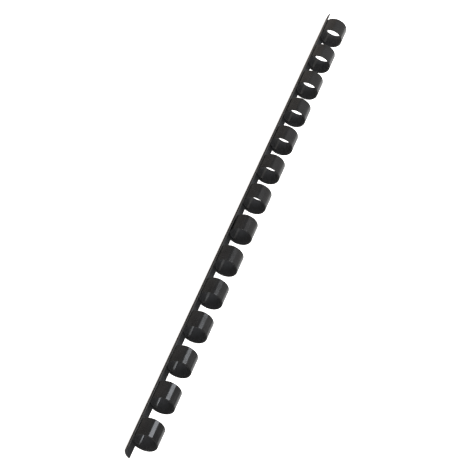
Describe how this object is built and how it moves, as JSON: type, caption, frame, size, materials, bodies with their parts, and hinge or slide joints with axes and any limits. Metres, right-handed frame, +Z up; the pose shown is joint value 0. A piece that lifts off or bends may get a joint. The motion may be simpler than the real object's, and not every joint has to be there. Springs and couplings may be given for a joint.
{
  "type": "plastic binding comb",
  "caption": "Black plastic binding comb: a narrow curved spine with a row of curled rings that uncurl to take punched pages.",
  "frame": {"origin": "bottom centre of the comb's box, with the comb lying spine down as it balances on a table", "axes": "+X along the comb towards its last ring, +Y towards the side where the rings tuck inside the spine's free edge, +Z up"},
  "size_m": [0.2, 0.008, 0.0084],
  "materials": {
    "comb_plastic": "gloss black PVC sheet"
  },
  "bodies": {
    "comb": {"spine": "comb_plastic", "ring_roots": "comb_plastic"},
    "ring_01_back": {"ring_01_back": "comb_plastic"},
    "ring_01_front": {"ring_01_front": "comb_plastic"},
    "ring_01_tip": {"ring_01_tip": "comb_plastic"},
    "ring_02_back": {"ring_02_back": "comb_plastic"},
    "ring_02_front": {"ring_02_front": "comb_plastic"},
    "ring_02_tip": {"ring_02_tip": "comb_plastic"},
    "ring_03_back": {"ring_03_back": "comb_plastic"},
    "ring_03_front": {"ring_03_front": "comb_plastic"},
    "ring_03_tip": {"ring_03_tip": "comb_plastic"},
    "ring_04_back": {"ring_04_back": "comb_plastic"},
    "ring_04_front": {"ring_04_front": "comb_plastic"},
    "ring_04_tip": {"ring_04_tip": "comb_plastic"},
    "ring_05_back": {"ring_05_back": "comb_plastic"},
    "ring_05_front": {"ring_05_front": "comb_plastic"},
    "ring_05_tip": {"ring_05_tip": "comb_plastic"},
    "ring_06_back": {"ring_06_back": "comb_plastic"},
    "ring_06_front": {"ring_06_front": "comb_plastic"},
    "ring_06_tip": {"ring_06_tip": "comb_plastic"},
    "ring_07_back": {"ring_07_back": "comb_plastic"},
    "ring_07_front": {"ring_07_front": "comb_plastic"},
    "ring_07_tip": {"ring_07_tip": "comb_plastic"},
    "ring_08_back": {"ring_08_back": "comb_plastic"},
    "ring_08_front": {"ring_08_front": "comb_plastic"},
    "ring_08_tip": {"ring_08_tip": "comb_plastic"},
    "ring_09_back": {"ring_09_back": "comb_plastic"},
    "ring_09_front": {"ring_09_front": "comb_plastic"},
    "ring_09_tip": {"ring_09_tip": "comb_plastic"},
    "ring_10_back": {"ring_10_back": "comb_plastic"},
    "ring_10_front": {"ring_10_front": "comb_plastic"},
    "ring_10_tip": {"ring_10_tip": "comb_plastic"},
    "ring_11_back": {"ring_11_back": "comb_plastic"},
    "ring_11_front": {"ring_11_front": "comb_plastic"},
    "ring_11_tip": {"ring_11_tip": "comb_plastic"},
    "ring_12_back": {"ring_12_back": "comb_plastic"},
    "ring_12_front": {"ring_12_front": "comb_plastic"},
    "ring_12_tip": {"ring_12_tip": "comb_plastic"},
    "ring_13_back": {"ring_13_back": "comb_plastic"},
    "ring_13_front": {"ring_13_front": "comb_plastic"},
    "ring_13_tip": {"ring_13_tip": "comb_plastic"},
    "ring_14_back": {"ring_14_back": "comb_plastic"},
    "ring_14_front": {"ring_14_front": "comb_plastic"},
    "ring_14_tip": {"ring_14_tip": "comb_plastic"}
  },
  "joints": [
    {"name": "ring_01_opening", "type": "hinge", "parent": "comb", "child": "ring_01_back", "pos_m": [-0.09202, -0.00388, 0.00315], "axis": [1, 0, 0], "range_deg": [0, 45], "stiffness_Nm_per_rad": 0.031},
    {"name": "ring_01_middle_flex", "type": "hinge", "parent": "ring_01_back", "child": "ring_01_front", "pos_m": [-0.09202, -0.00219, 0.00766], "axis": [1, 0, 0], "range_deg": [0, 36]},
    {"name": "ring_01_tip_flex", "type": "hinge", "parent": "ring_01_front", "child": "ring_01_tip", "pos_m": [-0.09202, 0.00177, 0.00799], "axis": [1, 0, 0], "range_deg": [0, 36]},
    {"name": "ring_02_opening", "type": "hinge", "parent": "comb", "child": "ring_02_back", "pos_m": [-0.07773, -0.00388, 0.00315], "axis": [1, 0, 0], "range_deg": [0, 45], "stiffness_Nm_per_rad": 0.031},
    {"name": "ring_02_middle_flex", "type": "hinge", "parent": "ring_02_back", "child": "ring_02_front", "pos_m": [-0.07773, -0.00219, 0.00766], "axis": [1, 0, 0], "range_deg": [0, 36]},
    {"name": "ring_02_tip_flex", "type": "hinge", "parent": "ring_02_front", "child": "ring_02_tip", "pos_m": [-0.07773, 0.00177, 0.00799], "axis": [1, 0, 0], "range_deg": [0, 36]},
    {"name": "ring_03_opening", "type": "hinge", "parent": "comb", "child": "ring_03_back", "pos_m": [-0.06344, -0.00388, 0.00315], "axis": [1, 0, 0], "range_deg": [0, 45], "stiffness_Nm_per_rad": 0.031},
    {"name": "ring_03_middle_flex", "type": "hinge", "parent": "ring_03_back", "child": "ring_03_front", "pos_m": [-0.06344, -0.00219, 0.00766], "axis": [1, 0, 0], "range_deg": [0, 36]},
    {"name": "ring_03_tip_flex", "type": "hinge", "parent": "ring_03_front", "child": "ring_03_tip", "pos_m": [-0.06344, 0.00177, 0.00799], "axis": [1, 0, 0], "range_deg": [0, 36]},
    {"name": "ring_04_opening", "type": "hinge", "parent": "comb", "child": "ring_04_back", "pos_m": [-0.04916, -0.00388, 0.00315], "axis": [1, 0, 0], "range_deg": [0, 45], "stiffness_Nm_per_rad": 0.031},
    {"name": "ring_04_middle_flex", "type": "hinge", "parent": "ring_04_back", "child": "ring_04_front", "pos_m": [-0.04916, -0.00219, 0.00766], "axis": [1, 0, 0], "range_deg": [0, 36]},
    {"name": "ring_04_tip_flex", "type": "hinge", "parent": "ring_04_front", "child": "ring_04_tip", "pos_m": [-0.04916, 0.00177, 0.00799], "axis": [1, 0, 0], "range_deg": [0, 36]},
    {"name": "ring_05_opening", "type": "hinge", "parent": "comb", "child": "ring_05_back", "pos_m": [-0.03487, -0.00388, 0.00315], "axis": [1, 0, 0], "range_deg": [0, 45], "stiffness_Nm_per_rad": 0.031},
    {"name": "ring_05_middle_flex", "type": "hinge", "parent": "ring_05_back", "child": "ring_05_front", "pos_m": [-0.03487, -0.00219, 0.00766], "axis": [1, 0, 0], "range_deg": [0, 36]},
    {"name": "ring_05_tip_flex", "type": "hinge", "parent": "ring_05_front", "child": "ring_05_tip", "pos_m": [-0.03487, 0.00177, 0.00799], "axis": [1, 0, 0], "range_deg": [0, 36]},
    {"name": "ring_06_opening", "type": "hinge", "parent": "comb", "child": "ring_06_back", "pos_m": [-0.02058, -0.00388, 0.00315], "axis": [1, 0, 0], "range_deg": [0, 45], "stiffness_Nm_per_rad": 0.031},
    {"name": "ring_06_middle_flex", "type": "hinge", "parent": "ring_06_back", "child": "ring_06_front", "pos_m": [-0.02058, -0.00219, 0.00766], "axis": [1, 0, 0], "range_deg": [0, 36]},
    {"name": "ring_06_tip_flex", "type": "hinge", "parent": "ring_06_front", "child": "ring_06_tip", "pos_m": [-0.02058, 0.00177, 0.00799], "axis": [1, 0, 0], "range_deg": [0, 36]},
    {"name": "ring_07_opening", "type": "hinge", "parent": "comb", "child": "ring_07_back", "pos_m": [-0.00629, -0.00388, 0.00315], "axis": [1, 0, 0], "range_deg": [0, 45], "stiffness_Nm_per_rad": 0.031},
    {"name": "ring_07_middle_flex", "type": "hinge", "parent": "ring_07_back", "child": "ring_07_front", "pos_m": [-0.00629, -0.00219, 0.00766], "axis": [1, 0, 0], "range_deg": [0, 36]},
    {"name": "ring_07_tip_flex", "type": "hinge", "parent": "ring_07_front", "child": "ring_07_tip", "pos_m": [-0.00629, 0.00177, 0.00799], "axis": [1, 0, 0], "range_deg": [0, 36]},
    {"name": "ring_08_opening", "type": "hinge", "parent": "comb", "child": "ring_08_back", "pos_m": [0.00799, -0.00388, 0.00315], "axis": [1, 0, 0], "range_deg": [0, 45], "stiffness_Nm_per_rad": 0.031},
    {"name": "ring_08_middle_flex", "type": "hinge", "parent": "ring_08_back", "child": "ring_08_front", "pos_m": [0.00799, -0.00219, 0.00766], "axis": [1, 0, 0], "range_deg": [0, 36]},
    {"name": "ring_08_tip_flex", "type": "hinge", "parent": "ring_08_front", "child": "ring_08_tip", "pos_m": [0.00799, 0.00177, 0.00799], "axis": [1, 0, 0], "range_deg": [0, 36]},
    {"name": "ring_09_opening", "type": "hinge", "parent": "comb", "child": "ring_09_back", "pos_m": [0.02228, -0.00388, 0.00315], "axis": [1, 0, 0], "range_deg": [0, 45], "stiffness_Nm_per_rad": 0.031},
    {"name": "ring_09_middle_flex", "type": "hinge", "parent": "ring_09_back", "child": "ring_09_front", "pos_m": [0.02228, -0.00219, 0.00766], "axis": [1, 0, 0], "range_deg": [0, 36]},
    {"name": "ring_09_tip_flex", "type": "hinge", "parent": "ring_09_front", "child": "ring_09_tip", "pos_m": [0.02228, 0.00177, 0.00799], "axis": [1, 0, 0], "range_deg": [0, 36]},
    {"name": "ring_10_opening", "type": "hinge", "parent": "comb", "child": "ring_10_back", "pos_m": [0.03657, -0.00388, 0.00315], "axis": [1, 0, 0], "range_deg": [0, 45], "stiffness_Nm_per_rad": 0.031},
    {"name": "ring_10_middle_flex", "type": "hinge", "parent": "ring_10_back", "child": "ring_10_front", "pos_m": [0.03657, -0.00219, 0.00766], "axis": [1, 0, 0], "range_deg": [0, 36]},
    {"name": "ring_10_tip_flex", "type": "hinge", "parent": "ring_10_front", "child": "ring_10_tip", "pos_m": [0.03657, 0.00177, 0.00799], "axis": [1, 0, 0], "range_deg": [0, 36]},
    {"name": "ring_11_opening", "type": "hinge", "parent": "comb", "child": "ring_11_back", "pos_m": [0.05086, -0.00388, 0.00315], "axis": [1, 0, 0], "range_deg": [0, 45], "stiffness_Nm_per_rad": 0.031},
    {"name": "ring_11_middle_flex", "type": "hinge", "parent": "ring_11_back", "child": "ring_11_front", "pos_m": [0.05086, -0.00219, 0.00766], "axis": [1, 0, 0], "range_deg": [0, 36]},
    {"name": "ring_11_tip_flex", "type": "hinge", "parent": "ring_11_front", "child": "ring_11_tip", "pos_m": [0.05086, 0.00177, 0.00799], "axis": [1, 0, 0], "range_deg": [0, 36]},
    {"name": "ring_12_opening", "type": "hinge", "parent": "comb", "child": "ring_12_back", "pos_m": [0.06514, -0.00388, 0.00315], "axis": [1, 0, 0], "range_deg": [0, 45], "stiffness_Nm_per_rad": 0.031},
    {"name": "ring_12_middle_flex", "type": "hinge", "parent": "ring_12_back", "child": "ring_12_front", "pos_m": [0.06514, -0.00219, 0.00766], "axis": [1, 0, 0], "range_deg": [0, 36]},
    {"name": "ring_12_tip_flex", "type": "hinge", "parent": "ring_12_front", "child": "ring_12_tip", "pos_m": [0.06514, 0.00177, 0.00799], "axis": [1, 0, 0], "range_deg": [0, 36]},
    {"name": "ring_13_opening", "type": "hinge", "parent": "comb", "child": "ring_13_back", "pos_m": [0.07943, -0.00388, 0.00315], "axis": [1, 0, 0], "range_deg": [0, 45], "stiffness_Nm_per_rad": 0.031},
    {"name": "ring_13_middle_flex", "type": "hinge", "parent": "ring_13_back", "child": "ring_13_front", "pos_m": [0.07943, -0.00219, 0.00766], "axis": [1, 0, 0], "range_deg": [0, 36]},
    {"name": "ring_13_tip_flex", "type": "hinge", "parent": "ring_13_front", "child": "ring_13_tip", "pos_m": [0.07943, 0.00177, 0.00799], "axis": [1, 0, 0], "range_deg": [0, 36]},
    {"name": "ring_14_opening", "type": "hinge", "parent": "comb", "child": "ring_14_back", "pos_m": [0.09372, -0.00388, 0.00315], "axis": [1, 0, 0], "range_deg": [0, 45], "stiffness_Nm_per_rad": 0.031},
    {"name": "ring_14_middle_flex", "type": "hinge", "parent": "ring_14_back", "child": "ring_14_front", "pos_m": [0.09372, -0.00219, 0.00766], "axis": [1, 0, 0], "range_deg": [0, 36]},
    {"name": "ring_14_tip_flex", "type": "hinge", "parent": "ring_14_front", "child": "ring_14_tip", "pos_m": [0.09372, 0.00177, 0.00799], "axis": [1, 0, 0], "range_deg": [0, 36]}
  ],
  "couplings": [
    {"joint": "ring_01_middle_flex", "follows": "ring_01_opening", "ratio": 0.8},
    {"joint": "ring_01_tip_flex", "follows": "ring_01_opening", "ratio": 0.8},
    {"joint": "ring_02_middle_flex", "follows": "ring_02_opening", "ratio": 0.8},
    {"joint": "ring_02_tip_flex", "follows": "ring_02_opening", "ratio": 0.8},
    {"joint": "ring_03_middle_flex", "follows": "ring_03_opening", "ratio": 0.8},
    {"joint": "ring_03_tip_flex", "follows": "ring_03_opening", "ratio": 0.8},
    {"joint": "ring_04_middle_flex", "follows": "ring_04_opening", "ratio": 0.8},
    {"joint": "ring_04_tip_flex", "follows": "ring_04_opening", "ratio": 0.8},
    {"joint": "ring_05_middle_flex", "follows": "ring_05_opening", "ratio": 0.8},
    {"joint": "ring_05_tip_flex", "follows": "ring_05_opening", "ratio": 0.8},
    {"joint": "ring_06_middle_flex", "follows": "ring_06_opening", "ratio": 0.8},
    {"joint": "ring_06_tip_flex", "follows": "ring_06_opening", "ratio": 0.8},
    {"joint": "ring_07_middle_flex", "follows": "ring_07_opening", "ratio": 0.8},
    {"joint": "ring_07_tip_flex", "follows": "ring_07_opening", "ratio": 0.8},
    {"joint": "ring_08_middle_flex", "follows": "ring_08_opening", "ratio": 0.8},
    {"joint": "ring_08_tip_flex", "follows": "ring_08_opening", "ratio": 0.8},
    {"joint": "ring_09_middle_flex", "follows": "ring_09_opening", "ratio": 0.8},
    {"joint": "ring_09_tip_flex", "follows": "ring_09_opening", "ratio": 0.8},
    {"joint": "ring_10_middle_flex", "follows": "ring_10_opening", "ratio": 0.8},
    {"joint": "ring_10_tip_flex", "follows": "ring_10_opening", "ratio": 0.8},
    {"joint": "ring_11_middle_flex", "follows": "ring_11_opening", "ratio": 0.8},
    {"joint": "ring_11_tip_flex", "follows": "ring_11_opening", "ratio": 0.8},
    {"joint": "ring_12_middle_flex", "follows": "ring_12_opening", "ratio": 0.8},
    {"joint": "ring_12_tip_flex", "follows": "ring_12_opening", "ratio": 0.8},
    {"joint": "ring_13_middle_flex", "follows": "ring_13_opening", "ratio": 0.8},
    {"joint": "ring_13_tip_flex", "follows": "ring_13_opening", "ratio": 0.8},
    {"joint": "ring_14_middle_flex", "follows": "ring_14_opening", "ratio": 0.8},
    {"joint": "ring_14_tip_flex", "follows": "ring_14_opening", "ratio": 0.8}
  ]
}
